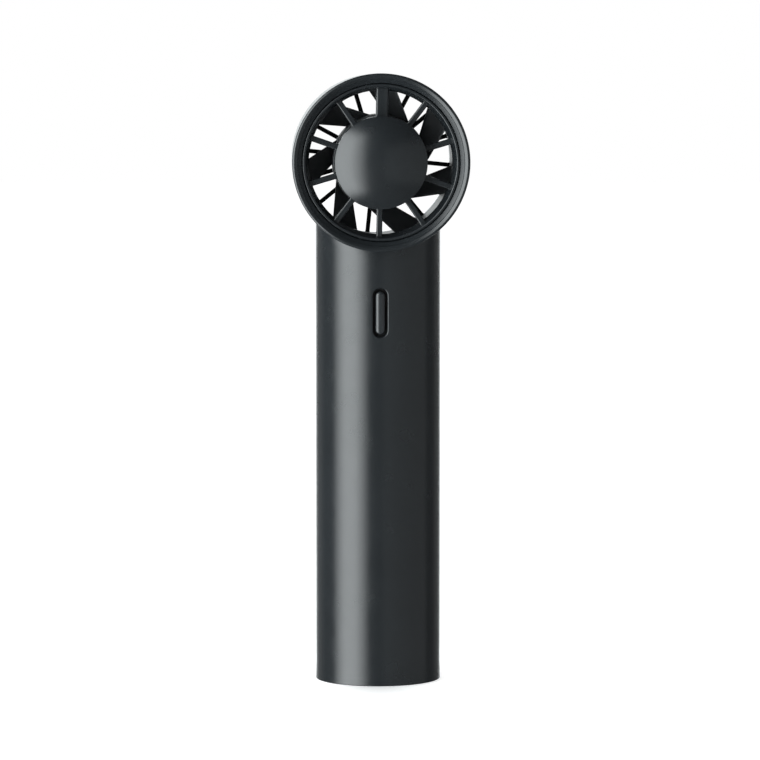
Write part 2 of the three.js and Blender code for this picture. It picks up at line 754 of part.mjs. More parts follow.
// One blade, a thin plate with a front and a rear face, as a closed grid.
function blade(turn) {
  const rows = 3;
  const columns = 3;
  const positions = [];
  const triangles = [];
  const at = (side, i, j) => side * (rows + 1) * (columns + 1) + i * (columns + 1) + j;
  const quad = (a, b, c, d) => triangles.push(a, b, c, a, c, d);
  for (const side of [-1, 1]) {
    for (let i = 0; i <= rows; i += 1) {
      const radius = THREE.MathUtils.lerp(IMPELLER.bladeRoot, IMPELLER.bladeTip, i / rows);
      const from = angleOnEdge(IMPELLER.frontEdge, radius);
      const to = angleOnEdge(IMPELLER.rearEdge, radius);
      for (let j = 0; j <= columns; j += 1) {
        const y = THREE.MathUtils.lerp(IMPELLER.bladeFront, IMPELLER.bladeRear, j / columns);
        const angle = THREE.MathUtils.lerp(from, to, j / columns) + turn;
        positions.push(...polar(radius, angle, y + side * IMPELLER.bladeHalfThickness).toArray());
      }
    }
  }
  for (let i = 0; i < rows; i += 1) {
    for (let j = 0; j < columns; j += 1) {
      quad(at(0, i, j), at(0, i + 1, j), at(0, i + 1, j + 1), at(0, i, j + 1));
      quad(at(1, i, j), at(1, i, j + 1), at(1, i + 1, j + 1), at(1, i + 1, j));
    }
    quad(at(0, i, 0), at(1, i, 0), at(1, i + 1, 0), at(0, i + 1, 0));
    quad(at(0, i, columns), at(0, i + 1, columns), at(1, i + 1, columns), at(1, i, columns));
  }
  for (let j = 0; j < columns; j += 1) {
    quad(at(0, 0, j), at(0, 0, j + 1), at(1, 0, j + 1), at(1, 0, j));
    quad(at(0, rows, j), at(1, rows, j), at(1, rows, j + 1), at(0, rows, j + 1));
  }
  const geometry = new THREE.BufferGeometry();
  geometry.setAttribute('position', new THREE.Float32BufferAttribute(positions, 3));
  geometry.setIndex(triangles);
  return geometry;
}

function impeller() {
  const m = IMPELLER;
  const hub = turned([
    [shaftHole, m.plateFront], [m.hubBore, m.plateFront], [m.hubBore, m.hubFront], [m.hubRadius, m.hubFront],
    [m.hubRadius, m.hubRear], [m.hubBore, m.hubRear], [m.hubBore, m.plateRear], [shaftHole, m.plateRear],
  ]);
  const blades = Array.from({ length: m.blades }, (_, i) => blade(i * 360 / m.blades));
  return join(hub, ...blades);
}

function motorScrewPlaces() {
  return [30, 150, 270].map((angle) => {
    const p = polar(MOTOR.screwCircle, angle, 0);
    return [p.x, p.z];
  });
}

function statorCore() {
  const teeth = Array.from({ length: MOTOR.teeth }, (_, i) => spoke(
    i * 360 / MOTOR.teeth, MOTOR.toothWidth, (MOTOR.statorBore + MOTOR.statorHub) / 2, MOTOR.toothRadius,
    MOTOR.coreFront, MOTOR.coreRear,
  ));
  return join(ring(MOTOR.statorBore, MOTOR.statorHub, MOTOR.coreFront, MOTOR.coreRear, FINE), ...teeth);
}

// A rectangular winding round one stator tooth.
function coil(index) {
  const half = MOTOR.toothWidth / 2 + GAP;
  const [from, to] = MOTOR.coil;
  const thickness = MOTOR.coilThickness;
  const outer = box([from, to], [MOTOR.coreFront - GAP - thickness, MOTOR.coreRear + GAP + thickness],
    [-half - thickness, half + thickness]);
  const inner = box([from - THROUGH, to + THROUGH], [MOTOR.coreFront - GAP, MOTOR.coreRear + GAP],
    [-half, half]);
  return aroundAxis(cut(outer, inner), index * 360 / MOTOR.teeth);
}

function motorBase() {
  const bore = MOTOR.bearingRadius + GAP;
  const flangeRadius = FRONT_GRILLE.hubBore - GAP;
  const body = turned([
    [bore, MOTOR.baseFront], [flangeRadius, MOTOR.baseFront], [flangeRadius, MOTOR.baseRear],
    [MOTOR.bearingTube, MOTOR.baseRear], [MOTOR.bearingTube, MOTOR.bearingTubeRear],
    [bore, MOTOR.bearingTubeRear],
  ]);
  const holes = motorScrewPlaces().map(([x, z]) => ring(
    0, MOTOR.screwHole, MOTOR.baseFront - THROUGH, MOTOR.baseRear + THROUGH, TINY,
  ).translate(x, 0, z));
  return cut(body, ...holes);
}

function buildMotor() {
  const bellBore = MOTOR.bellRadius - MOTOR.bellWall;
  const plateFront = MOTOR.bellRear - MOTOR.bellPlate;
  place(head, 'rotor_bell', STEEL, turned([
    [shaftHole, plateFront], [bellBore, plateFront], [bellBore, MOTOR.bellFront],
    [MOTOR.bellRadius, MOTOR.bellFront], [MOTOR.bellRadius, MOTOR.bellRear], [shaftHole, MOTOR.bellRear],
  ]));
  const magnetOuter = bellBore - GAP;
  place(head, 'magnet_ring', MAGNET, ring(
    magnetOuter - MOTOR.magnetThickness, magnetOuter, MOTOR.bellFront + GAP, plateFront - GAP,
  ));
  place(head, 'motor_shaft', STEEL, ring(0, MOTOR.shaftRadius, ...MOTOR.shaft, TINY));
  place(head, 'impeller_nut', STEEL, ring(
    shaftHole, MOTOR.nutRadius, IMPELLER.plateRear + GAP, MOTOR.nutRear, TINY,
  ));
  Object.entries(MOTOR.bearings).forEach(([end, [front, rear]]) => {
    place(head, `bearing_${end}`, NICKEL, ring(shaftHole, MOTOR.bearingRadius, front, rear, FINE));
  });
  place(head, 'motor_base', NICKEL, motorBase());
  place(head, 'stator_core', IRON, statorCore());
  for (let i = 0; i < MOTOR.teeth; i += 1) {
    place(head, `coil_${i + 1}`, COPPER, coil(i));
  }
  place(head, 'driver_board', CIRCUIT, ring(
    MOTOR.boardBore, MOTOR.bellRadius, MOTOR.boardFront, MOTOR.boardFront + MOTOR.boardThickness,
  ));
  motorScrewPlaces().forEach(([x, z], i) => {
    const mesh = place(head, `motor_screw_${i + 1}`, STEEL, screw(1.4, 0.6, 0.7, 2.7));
    mesh.position.set(x, MOTOR.baseFront - GAP, z);
  });
}

function buildHead() {
  place(head, 'head_shell', SATIN_BLACK, headShell());
  place(head, 'front_bezel', SATIN_BLACK, frontBezel());
  place(head, 'front_grille', SATIN_BLACK, frontGrille());
  place(head, 'hub_dome', SATIN_BLACK, hubDome());
  place(head, 'duct_liner', DUCT_BLACK, ring(DUCT.radius, DUCT.radius + DUCT.wall, DUCT.front, DUCT.rear));
  place(head, 'rear_grille', SATIN_BLACK, rearGrille());
  const capRear = REAR_GRILLE.rear + GAP;
  place(head, 'rear_cap', SATIN_BLACK, ring(
    0, REAR_GRILLE.capRadius, capRear - REAR_GRILLE.capDepth, capRear,
  ));
  place(head, 'impeller', DUCT_BLACK, impeller());
  [-NECK.screwX, NECK.screwX].forEach((x, i) => {
    const mesh = place(fan, `neck_screw_${i + 1}`, STEEL, upright(screw(SCREW.head, 1.2, SCREW.shank, 9)));
    mesh.position.set(x, NECK.screwY, CHASSIS.topPlate[0] - GAP);
  });
}

// ---------------------------------------------------------------------------------------------
// Leads
// ---------------------------------------------------------------------------------------------

// From the driver board, up the wide spoke, round the duct and down into the grip.
function motorLeadRoute(side) {
  const along = rad(wideSpokeAngle);
  const shift = new THREE.Vector3(Math.sin(along), 0, -Math.cos(along)).multiplyScalar(0.6 * side);
  const { channelY } = LEADS;
  const orbitY = LEADS.shelfY + (side > 0 ? 0 : LEADS.spacing);
  const up = [[9.5, channelY], [15, channelY], [20.5, channelY], [22, -20.6], [LEADS.orbit, -19.4],
    [LEADS.orbit, -16.8]].map(([radius, y]) => polar(radius, wideSpokeAngle, y).add(shift));
  const round = Array.from({ length: 17 }, (_, i) => polar(LEADS.orbit, 80 - side - i * 10.2, orbitY));
  const down = [[-24.3, 0], [-27.5, 0.3], [-30.5, 2.4], [-33, 3.4], [-35.4, 3.5]].map(
    ([z, y]) => new THREE.Vector3(0, orbitY + y, z),
  );
  return [...up, ...round, ...down];
}

function buildLeads() {
  place(head, 'motor_lead_red', RED, lead(motorLeadRoute(1), 64));
  place(head, 'motor_lead_black', BLACK, lead(motorLeadRoute(-1), 64));
  const cellTop = CELL.bottom + CELL.length;
  const batteryRoute = (x, z, down) => [
    [7 * x, -5, z], [8.2 * x, -6.2, z + down], [8.6 * x, -6.9, z + 4 * down], [8.6 * x, -7.6, z + 8 * down],
  ].map((point) => new THREE.Vector3(...point));
  place(fan, 'battery_lead_red', RED, lead(batteryRoute(1, cellTop + 0.5, -1), 12));
  place(fan, 'battery_lead_black', BLACK, lead(batteryRoute(-1, CELL.bottom - 0.5, 1), 12));
  place(fan, 'charge_lead', RED, lead([
    [-4, -2.6, 12.4], [-4, -5.5, 14.5], [-4, -8.4, 19], [-4, -9, 23], [-4, -9, 27.6],
  ].map((point) => new THREE.Vector3(...point)), 16));
}

buildGrip();
buildBattery();
buildElectronics();
buildButton();
buildHead();
buildMotor();
buildLeads();

export default fan;
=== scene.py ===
"""A cordless hand-held turbo fan standing on its base: the looks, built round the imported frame."""
import json
from math import acos, asin, atan2, cos, degrees, pi, radians, sin, sqrt, tan

import bmesh
import bpy
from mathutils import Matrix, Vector


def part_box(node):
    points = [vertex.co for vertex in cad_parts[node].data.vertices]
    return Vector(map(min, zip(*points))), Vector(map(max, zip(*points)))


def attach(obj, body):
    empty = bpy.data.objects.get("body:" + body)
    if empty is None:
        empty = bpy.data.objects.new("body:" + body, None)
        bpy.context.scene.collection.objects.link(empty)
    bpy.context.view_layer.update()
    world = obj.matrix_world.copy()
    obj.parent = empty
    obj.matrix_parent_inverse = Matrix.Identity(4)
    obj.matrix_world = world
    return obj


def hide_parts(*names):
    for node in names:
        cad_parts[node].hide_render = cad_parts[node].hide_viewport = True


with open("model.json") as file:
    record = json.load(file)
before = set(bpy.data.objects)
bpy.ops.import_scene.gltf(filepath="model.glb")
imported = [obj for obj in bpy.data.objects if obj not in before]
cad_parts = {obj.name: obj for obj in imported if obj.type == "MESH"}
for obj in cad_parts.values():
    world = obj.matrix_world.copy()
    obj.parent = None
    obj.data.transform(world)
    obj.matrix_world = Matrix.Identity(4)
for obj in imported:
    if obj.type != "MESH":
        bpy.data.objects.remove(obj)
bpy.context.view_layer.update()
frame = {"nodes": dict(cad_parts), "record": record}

MM = 0.001

# ---------------------------------------------------------------------------------------------
# Sizes, in millimetres, from the frame. X is to the right, -Y is the front and Z is up.
# ---------------------------------------------------------------------------------------------


def span(node):
    """A node's lowest and highest corner, in millimetres."""
    low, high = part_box(node)
    return low / MM, high / MM


_, tube_high = span("grip_tube")
bezel_low, bezel_high = span("front_bezel")
shell_low, shell_high = span("head_shell")
liner_low, liner_high = span("duct_liner")
_, grille_high = span("front_grille")
rear_low, rear_high = span("rear_grille")
dome_low, dome_high = span("hub_dome")
button_low, button_high = span("power_button")
socket_low, socket_high = span("charging_socket")
cap_low, cap_high = span("base_cap")
_, pad_high = span("foot_pad")
rear_cap_low, rear_cap_high = span("rear_cap")
rotor_low, rotor_high = span("impeller")

AXIS_Z = (bezel_low.z + bezel_high.z) / 2
RIM_RADIUS = bezel_high.x
RIM_FRONT = bezel_low.y
SHELL_FRONT_RADIUS = RIM_RADIUS - 0.1
SHELL_REAR_RADIUS = RIM_RADIUS - 0.8
SHELL_REAR = shell_high.y
SEAM = shell_low.y                  # where the bezel meets the shell
GAP = 0.3                           # between two pieces that fit loosely

TUBE_FLARE = 0.08                   # how much wider the tube's foot is than its wall
TUBE_RADIUS = tube_high.x - TUBE_FLARE
TUBE_WALL = 1.6
TUBE_BOTTOM = 0.05

THROAT = 20.1                       # radius of the opening in the front grille's ring
DUCT_RADIUS = liner_high.x - 0.55
HUB_RADIUS = (dome_high.x - dome_low.x) / 2
BUTTON_Z = (button_low.z + button_high.z) / 2
SOCKET_Z = (socket_low.z + socket_high.z) / 2

# ---------------------------------------------------------------------------------------------
# Mesh helpers
# ---------------------------------------------------------------------------------------------

MERGE_DISTANCE = 1e-7               # in metres
SMALLEST_FACE = 1e-14               # in square metres
RING_SIDES = 256                    # how many sides the large turned pieces have
HUB_SIDES = 192
SMALL_SIDES = 128
LARGEST_REACH = 0.48                # the most of an outline's straight that one corner's arc takes


def rounded(corners, steps=5):
    """A closed outline whose corners (x, y, radius) are rounded with arcs."""
    points = []
    count = len(corners)
    for i, (x, y, radius) in enumerate(corners):
        here = Vector((x, y))
        before = Vector(corners[i - 1][:2]) - here
        after = Vector(corners[(i + 1) % count][:2]) - here
        if radius <= 0:
            points.append(here)
            continue
        u, v = before.normalized(), after.normalized()
        half = acos(max(-1, min(1, u.dot(v)))) / 2
        reach = min(radius / tan(half), LARGEST_REACH * before.length, LARGEST_REACH * after.length)
        centre = here + (u + v).normalized() * (reach / cos(half))
        start, end = here + u * reach - centre, here + v * reach - centre
        sweep = atan2(start.x * end.y - start.y * end.x, start.dot(end))
        for k in range(steps + 1):
            turn = sweep * k / steps
            points.append(centre + Vector((
                start.x * cos(turn) - start.y * sin(turn),
                start.x * sin(turn) + start.y * cos(turn),
            )))
    return points


def make(name, vertices, faces):
    """A mesh object from points in millimetres, with its faces pointing out."""
    mesh = bpy.data.meshes.new(name)
    mesh.from_pydata([tuple(c * MM for c in v) for v in vertices], [], faces)
    tidy = bmesh.new()
    tidy.from_mesh(mesh)
    bmesh.ops.remove_doubles(tidy, verts=tidy.verts, dist=MERGE_DISTANCE)
    bmesh.ops.recalc_face_normals(tidy, faces=tidy.faces)
    tidy.to_mesh(mesh)
    tidy.free()
    piece = bpy.data.objects.new(name, mesh)
    bpy.context.scene.collection.objects.link(piece)
    return piece


def smooth(piece, angle):
    """Shades a piece smooth, but for the edges that turn by more than an angle in degrees."""
    for face in piece.data.polygons:
        face.use_smooth = True
    piece.data.set_sharp_from_angle(angle=radians(angle))


def loft(name, rings, closed=False):
    """A skin over rings of equal length, capped at both ends unless the rings close on themselves."""
    size = len(rings[0])
    vertices = [point for one in rings for point in one]
    faces = []
    pairs = len(rings) if closed else len(rings) - 1
    for i in range(pairs):
        a, b = i * size, (i + 1) % len(rings) * size
        for j in range(size):
            k = (j + 1) % size
            faces.append((a + j, a + k, b + k, b + j))
    if not closed:
        faces.append(tuple(range(size)))
        faces.append(tuple(range((len(rings) - 1) * size, len(rings) * size)))
    return make(name, vertices, faces)


def turned(name, outline, segments=HUB_SIDES, upright=False):
    """An outline of (radius, height) turned about the head's axis, or about the tube's upright axis."""
    rings = []
    for i in range(segments):
        angle = 2 * pi * i / segments
        c, s = cos(angle), sin(angle)
        if upright:
            rings.append([(r * c, r * s, h) for r, h in outline])
        else:
            rings.append([(r * c, h, AXIS_Z + r * s) for r, h in outline])
    piece = loft(name, rings, closed=True)
    drop_slivers(piece)
    return piece


def drop_slivers(piece):
    """Removes the faces that collapse where an outline runs along its axis."""
    work = bmesh.new()
    work.from_mesh(piece.data)
    bmesh.ops.dissolve_degenerate(work, edges=work.edges, dist=MERGE_DISTANCE)
    bmesh.ops.remove_doubles(work, verts=work.verts, dist=MERGE_DISTANCE)
    on_axis = [f for f in work.faces if f.calc_area() < SMALLEST_FACE]
    bmesh.ops.delete(work, geom=on_axis, context="FACES")
    bmesh.ops.recalc_face_normals(work, faces=work.faces)
    work.to_mesh(piece.data)
    work.free()


def merge(name, pieces):
    """Several meshes as one object, without joining their surfaces."""
    work = bmesh.new()
    for piece in pieces:
        work.from_mesh(piece.data)
    mesh = bpy.data.meshes.new(name)
    work.to_mesh(mesh)
    work.free()
    for piece in pieces:
        bpy.data.objects.remove(piece)
    whole = bpy.data.objects.new(name, mesh)
    bpy.context.scene.collection.objects.link(whole)
    return whole


def boolean(piece, tool, operation):
    """Joins or cuts a piece with a tool, which is used up."""
    step = piece.modifiers.new(operation, "BOOLEAN")
    step.operation = operation
    step.solver = "EXACT"
    step.object = tool
    graph = bpy.context.evaluated_depsgraph_get()
    result = bpy.data.meshes.new_from_object(piece.evaluated_get(graph))
    piece.modifiers.clear()
    piece.data = result
    bpy.data.objects.remove(tool)


def pill(half_width, half_length, steps=16):
    """An outline with straight sides and round ends, its long side along its second direction."""
    straight = half_length - half_width
    points = []
    for end in (1, -1):
        for i in range(steps + 1):
            angle = pi * i / steps
            points.append((end * half_width * cos(angle), end * (straight + half_width * sin(angle))))
    return points


def quarter(steps):
    """The angles of a quarter turn, in radians, from 0 to a right angle."""
    return [radians(90 * k / steps) for k in range(steps + 1)]


BAR_REAR_EDGE = 0.15
ROOT_REACH = 0.9                    # how far from its ends a bar starts to widen
ROOT_BEND = 0.35                    # where it has done part of its widening
ROOT_BEND_SHARE = 0.4
ROOT_FLARE = 0.35                   # how much a bar widens to each side at its ends


def bar(name, angle, width, inner, outer, front, rear, edge):
    """A moulded bar along a radius, with rounded front edges and roots that widen into what they meet."""
    along = Vector((cos(radians(angle)), 0, sin(radians(angle))))
    across = Vector((-along.z, 0, along.x))
    middle = Vector((0, 0, AXIS_Z))
    bend = ROOT_BEND_SHARE * ROOT_FLARE
    stations = [
        (inner, ROOT_FLARE), (inner + ROOT_BEND, bend), (inner + ROOT_REACH, 0),
        (outer - ROOT_REACH, 0), (outer - ROOT_BEND, bend), (outer, ROOT_FLARE),
    ]
    rings = []
    for radius, extra in stations:
        half = width / 2 + extra
        section = rounded([
            (-half, rear, BAR_REAR_EDGE), (half, rear, BAR_REAR_EDGE),
            (half, front, edge), (-half, front, edge),
        ], steps=4)
        rings.append([middle + along * radius + across * x + Vector((0, y, 0)) for x, y in section])
    return loft(name, rings)


# ---------------------------------------------------------------------------------------------
# Materials
# ---------------------------------------------------------------------------------------------


NOISE_LOW, NOISE_HIGH = 0.3, 0.7    # most of a noise lies between these
CLOUD_SCALE = 38                    # scales of the noises, in waves per metre
GLOSS_SCALE = 160
STREAK_SCALE = 900
GLOSS_SPREAD = 0.03                 # how far plastic's roughness strays
GRAIN_STRENGTH = 0.35
STREAK_STRENGTH = 0.3
STREAK_DEPTH = 0.004
PORE_STRENGTH = 0.6


class Nodes:
    """A small builder for one material's node tree."""

    def __init__(self, name):
        self.material = bpy.data.materials.new(name)
        self.material.use_nodes = True
        self.tree = self.material.node_tree
        self.shader = self.tree.nodes["Principled BSDF"]
        place = self.tree.nodes.new("ShaderNodeTexCoord")
        self.place = place.outputs["Object"]

    def link(self, source, socket):
        self.tree.links.new(source, socket)

    def noise(self, scale, detail=3, roughness=0.5):
        node = self.tree.nodes.new("ShaderNodeTexNoise")
        node.inputs["Scale"].default_value = scale
        node.inputs["Detail"].default_value = detail
        node.inputs["Roughness"].default_value = roughness
        self.link(self.place, node.inputs["Vector"])
        return node.outputs["Fac"]

    def spread(self, value, low, high):
        """A noise spread from a low to a high value."""
        node = self.tree.nodes.new("ShaderNodeMapRange")
        node.inputs["From Min"].default_value = NOISE_LOW
        node.inputs["From Max"].default_value = NOISE_HIGH
        node.inputs["To Min"].default_value = low
        node.inputs["To Max"].default_value = high
        self.link(value, node.inputs["Value"])
        return node.outputs["Result"]

    def mix(self, factor, first, second):
        node = self.tree.nodes.new("ShaderNodeMix")
        node.data_type = "RGBA"
        node.inputs["A"].default_value = (*first, 1)
        node.inputs["B"].default_value = (*second, 1)
        self.link(factor, node.inputs["Factor"])
        return node.outputs["Result"]

    def colour_between(self, factor, colour, darkest, lightest):
        """The base colour, between two shares of one colour."""
        dark = tuple(c * darkest for c in colour)
        light = tuple(c * lightest for c in colour)
        shade = self.mix(self.spread(factor, 0, 1), dark, light)
        self.link(shade, self.shader.inputs["Base Color"])

    def roughness_between(self, value, low, high):
        self.link(self.spread(value, low, high), self.shader.inputs["Roughness"])

    def bump(self, height, strength, distance):
        node = self.tree.nodes.new("ShaderNodeBump")
        node.inputs["Strength"].default_value = strength
        node.inputs["Distance"].default_value = distance
        self.link(height, node.inputs["Height"])
        self.link(node.outputs["Normal"], self.shader.inputs["Normal"])


LOOKS = {}                          # the material of each slot, by its name


def moulded(name, colour, roughness, grain=3500, grain_depth=0.004):
    """Moulded plastic: a fine spark-eroded grain, slightly uneven gloss and a faint cloudiness."""
    m = Nodes(name)
    m.colour_between(m.noise(CLOUD_SCALE, detail=4), colour, 0.9, 1.1)
    gloss = m.noise(GLOSS_SCALE, detail=5)
    m.roughness_between(gloss, roughness - GLOSS_SPREAD, roughness + GLOSS_SPREAD)
    m.bump(m.noise(grain, detail=2, roughness=0.6), GRAIN_STRENGTH, grain_depth * MM)
    LOOKS[name] = m.material


def metal(name, colour, roughness, streaks=(1, 1, 1)):
    """Turned or rolled metal with fine streaks: streaks is how much finer they are along X, Y and Z."""
    m = Nodes(name)
    stretch = m.tree.nodes.new("ShaderNodeMapping")
    stretch.inputs["Scale"].default_value = streaks
    m.link(m.place, stretch.inputs["Vector"])
    m.place = stretch.outputs["Vector"]
    m.shader.inputs["Metallic"].default_value = 1
    fine = m.noise(STREAK_SCALE, detail=4)
    m.colour_between(fine, colour, 0.85, 1)
    m.roughness_between(fine, roughness * 0.75, roughness * 1.25)
    m.bump(fine, STREAK_STRENGTH, STREAK_DEPTH * MM)
    LOOKS[name] = m.material


def soft(name, colour, pitch, depth):
    """Rubber or foam: matt, with a coarse fine-pored surface."""
    m = Nodes(name)
    pores = m.noise(pitch, detail=6, roughness=0.7)
    m.colour_between(pores, colour, 0.75, 1.25)
    m.roughness_between(pores, 0.75, 0.95)
    m.bump(pores, PORE_STRENGTH, depth * MM)
    LOOKS[name] = m.material


moulded("satin_black", (0.0098, 0.0118, 0.0133), 0.25)
moulded("gloss_black", (0.014, 0.016, 0.018), 0.25, grain=1800, grain_depth=0.002)
# Its black is lighter than the shell's: painted light, standing in for the light that bounces round
# inside the duct onto the liner and the blades.
moulded("duct_black", (0.040, 0.043, 0.046), 0.42, grain=1800, grain_depth=0.002)
moulded("inner_black", (0.016, 0.0165, 0.0175), 0.55, grain=2500, grain_depth=0.01)
moulded("circuit", (0.015, 0.07, 0.035), 0.3, grain=1500, grain_depth=0.01)
moulded("cell_wrap", (0.03, 0.1, 0.22), 0.3, grain=400, grain_depth=0.02)
moulded("red_wire", (0.3, 0.015, 0.015), 0.4)
moulded("black_wire", (0.01, 0.01, 0.01), 0.4)
soft("rubber", (0.014, 0.014, 0.014), 1400, 0.02)
soft("foam", (0.04, 0.04, 0.04), 900, 0.08)
metal("steel", (0.56, 0.57, 0.58), 0.3, streaks=(1, 8, 1))
metal("nickel", (0.62, 0.6, 0.55), 0.22)
metal("iron", (0.12, 0.125, 0.13), 0.45, streaks=(1, 12, 1))
metal("copper", (0.62, 0.27, 0.12), 0.28, streaks=(6, 1, 6))


def dress(piece, slot):
    """Gives a piece the one material of its slot."""
    piece.data.materials.clear()
    piece.data.materials.append(LOOKS[slot])


def dress_frame():
    """Gives every CAD node that stays the material of its slot."""
    slots = {row["node"]: row["material_slot"] for row in frame["record"]["subparts"]}
    for name, node in frame["nodes"].items():
        dress(node, slots[name])


def finish_piece(piece, slot, body, node, angle=32):
    """Shades and dresses a piece, which rides on a body in place of a CAD node."""
    smooth(piece, angle)
    dress(piece, slot)
    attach(piece, body)
    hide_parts(node)


# ---------------------------------------------------------------------------------------------
# Camera, light and stage. Azimuths are in degrees round the object, from the front to the right.
# ---------------------------------------------------------------------------------------------

VIEW_AZIMUTH = -2.1                 # degrees
VIEW_DISTANCE = 1259 * MM
VIEW_HEIGHT = 187 * MM
AIM_HEIGHT = 85.7 * MM
AIM_RIGHT = 0.57 * MM
LENS = 209.4
SENSOR = 36
FAR_CLIP = 50

STUDIO_WHITE = (0.94, 0.99, 1)
PURE_WHITE = (1, 1, 1)
WORLD_COLOUR = (0.97, 0.99, 1, 1)
WORLD_STRENGTH = 0.09
KEY_AZIMUTH = -55
KEY_DISTANCE = 1                    # metres, as are all the lights' places and sizes
KEY_HEIGHT = 0.06
KEY_PANELS = [(0.55, 1.6), (0.95, 1.9), (1.35, 2.2)]
KEY_SPACING = 0.02
KEY_RADIANCE = 2.3
FILL_DISTANCE = 1.3
# Name, azimuth, height, width, tallness, radiance and colour.
FILLS = [
    ("right_fill", 52, 0.1, 2.6, 1.4, 0.26, STUDIO_WHITE),
    ("backdrop", 178, 0.1, 1.1, 1.3, 1.4, STUDIO_WHITE),
    ("back_left", -150, 0.5, 1.2, 2.2, 0.15, PURE_WHITE),
    ("back_right", 150, 0.5, 1.2, 2.2, 0.1, PURE_WHITE),
]

FLOOR_RADIUS = 4000                 # millimetres
FLOOR_SIDES = 96
SURROUND_RADIUS = 8                 # metres
GLOW_NEAREST = 0.3                  # the floor's own light beside the tube, kept low there as a painted shade
GLOW_REACH = 3                      # how many tube radii out it is full
GLOW_SIDE = 2.5                     # how many times sooner it rises to the sides than to the front


def direction(azimuth):
    """From the object towards a place round it."""
    return Vector((sin(radians(azimuth)), -cos(radians(azimuth)), 0))


def add_camera():
    data = bpy.data.cameras.new("view")
    data.lens = LENS
    data.sensor_width = SENSOR
    data.clip_end = FAR_CLIP
    camera = bpy.data.objects.new("view", data)
    bpy.context.scene.collection.objects.link(camera)
    camera.location = direction(VIEW_AZIMUTH) * VIEW_DISTANCE + Vector((0, 0, VIEW_HEIGHT))
    right = Vector((cos(radians(VIEW_AZIMUTH)), sin(radians(VIEW_AZIMUTH)), 0))
    aim = right * AIM_RIGHT + Vector((0, 0, AIM_HEIGHT))
    camera.rotation_euler = (aim - camera.location).to_track_quat("-Z", "Y").to_euler()
    bpy.context.scene.camera = camera


def softbox(name, azimuth, distance, height, width, tall, radiance, colour):
    """A rectangular light that faces the object, unseen by the camera."""
    data = bpy.data.lights.new(name, "AREA")
    data.shape = "RECTANGLE"
    data.size = width
    data.size_y = tall
    data.energy = radiance * pi * width * tall
    data.color = colour
    light = bpy.data.objects.new(name, data)
    bpy.context.scene.collection.objects.link(light)
    light.location = direction(azimuth) * distance + Vector((0, 0, height))
    light.rotation_euler = (-direction(azimuth)).to_track_quat("-Z", "Y").to_euler()
    light.visible_camera = False


def add_lights():
    """A key at the left, a faint fill at the right and three lights behind, in a dim world."""
    world = bpy.data.worlds.new("studio")
    world.use_nodes = True
    background = world.node_tree.nodes["Background"]
    background.inputs["Color"].default_value = WORLD_COLOUR
    background.inputs["Strength"].default_value = WORLD_STRENGTH
    bpy.context.scene.world = world

    # Panels behind each other make one tall softbox that is brightest in its middle.
    for i, (width, tall) in enumerate(KEY_PANELS):
        distance = KEY_DISTANCE + KEY_SPACING * i
        softbox(f"key_{i}", KEY_AZIMUTH, distance, KEY_HEIGHT, width, tall, KEY_RADIANCE, STUDIO_WHITE)
    for name, azimuth, height, width, tall, radiance, colour in FILLS:
        softbox(name, azimuth, FILL_DISTANCE, height, width, tall, radiance, colour)


def plain(name, colour):
    """A matt material that also glows white."""
    material = bpy.data.materials.new(name)
    material.use_nodes = True
    shader = material.node_tree.nodes["Principled BSDF"]
    shader.inputs["Base Color"].default_value = (*colour, 1)
    shader.inputs["Roughness"].default_value = 1
    shader.inputs["Specular IOR Level"].default_value = 0
    shader.inputs["Emission Color"].default_value = (1, 1, 1, 1)
    shader.inputs["Emission Strength"].default_value = 1
    return material


def floor_material():
    """Matt white glowing more with distance: painted shade by the foot, in front, and painted light over
    the key's shadow to the sides.
    """
    material = plain("floor", (0.8, 0.8, 0.8))
    nodes = material.node_tree.nodes
    links = material.node_tree.links
    place = nodes.new("ShaderNodeTexCoord")
    squeeze = nodes.new("ShaderNodeVectorMath")
    squeeze.operation = "MULTIPLY"
    squeeze.inputs[1].default_value = (GLOW_SIDE, 1, 1)
    links.new(place.outputs["Object"], squeeze.inputs[0])
    distance = nodes.new("ShaderNodeVectorMath")
    distance.operation = "LENGTH"
    links.new(squeeze.outputs["Vector"], distance.inputs[0])
    glow = nodes.new("ShaderNodeMapRange")
    glow.inputs["From Min"].default_value = TUBE_RADIUS * MM
    glow.inputs["From Max"].default_value = GLOW_REACH * TUBE_RADIUS * MM
    glow.inputs["To Min"].default_value = GLOW_NEAREST
    glow.inputs["To Max"].default_value = 1
    links.new(distance.outputs["Value"], glow.inputs["Value"])
    links.new(glow.outputs["Result"], nodes["Principled BSDF"].inputs["Emission Strength"])
    return material


def add_floor():
    """A pale floor that throws no shadow and shows in no reflection."""
    turns = [2 * pi * i / FLOOR_SIDES for i in range(FLOOR_SIDES)]
    rim = [(FLOOR_RADIUS * cos(turn), FLOOR_RADIUS * sin(turn), 0) for turn in turns]
    floor = make("floor", rim, [tuple(range(FLOOR_SIDES))])
    floor.data.materials.append(floor_material())
    floor.visible_glossy = False
    floor.visible_shadow = False
    return floor


def add_surround():
    """A white ball round everything that only the camera sees."""
    mesh = bpy.data.meshes.new("surround")
    ball = bmesh.new()
    bmesh.ops.create_uvsphere(ball, u_segments=48, v_segments=24, radius=SURROUND_RADIUS)
    ball.to_mesh(mesh)
    ball.free()
    surround = bpy.data.objects.new("surround", mesh)
    bpy.context.scene.collection.objects.link(surround)
    mesh.materials.append(plain("surround", (0, 0, 0)))
    surround.visible_glossy = False
    surround.visible_diffuse = False
    surround.visible_transmission = False
    surround.visible_shadow = False
    return surround


def add_stage():
    add_floor()
    add_surround()
    add_lights()
    bpy.context.scene.view_settings.view_transform = "Standard"


# ---------------------------------------------------------------------------------------------
# Grip
# ---------------------------------------------------------------------------------------------

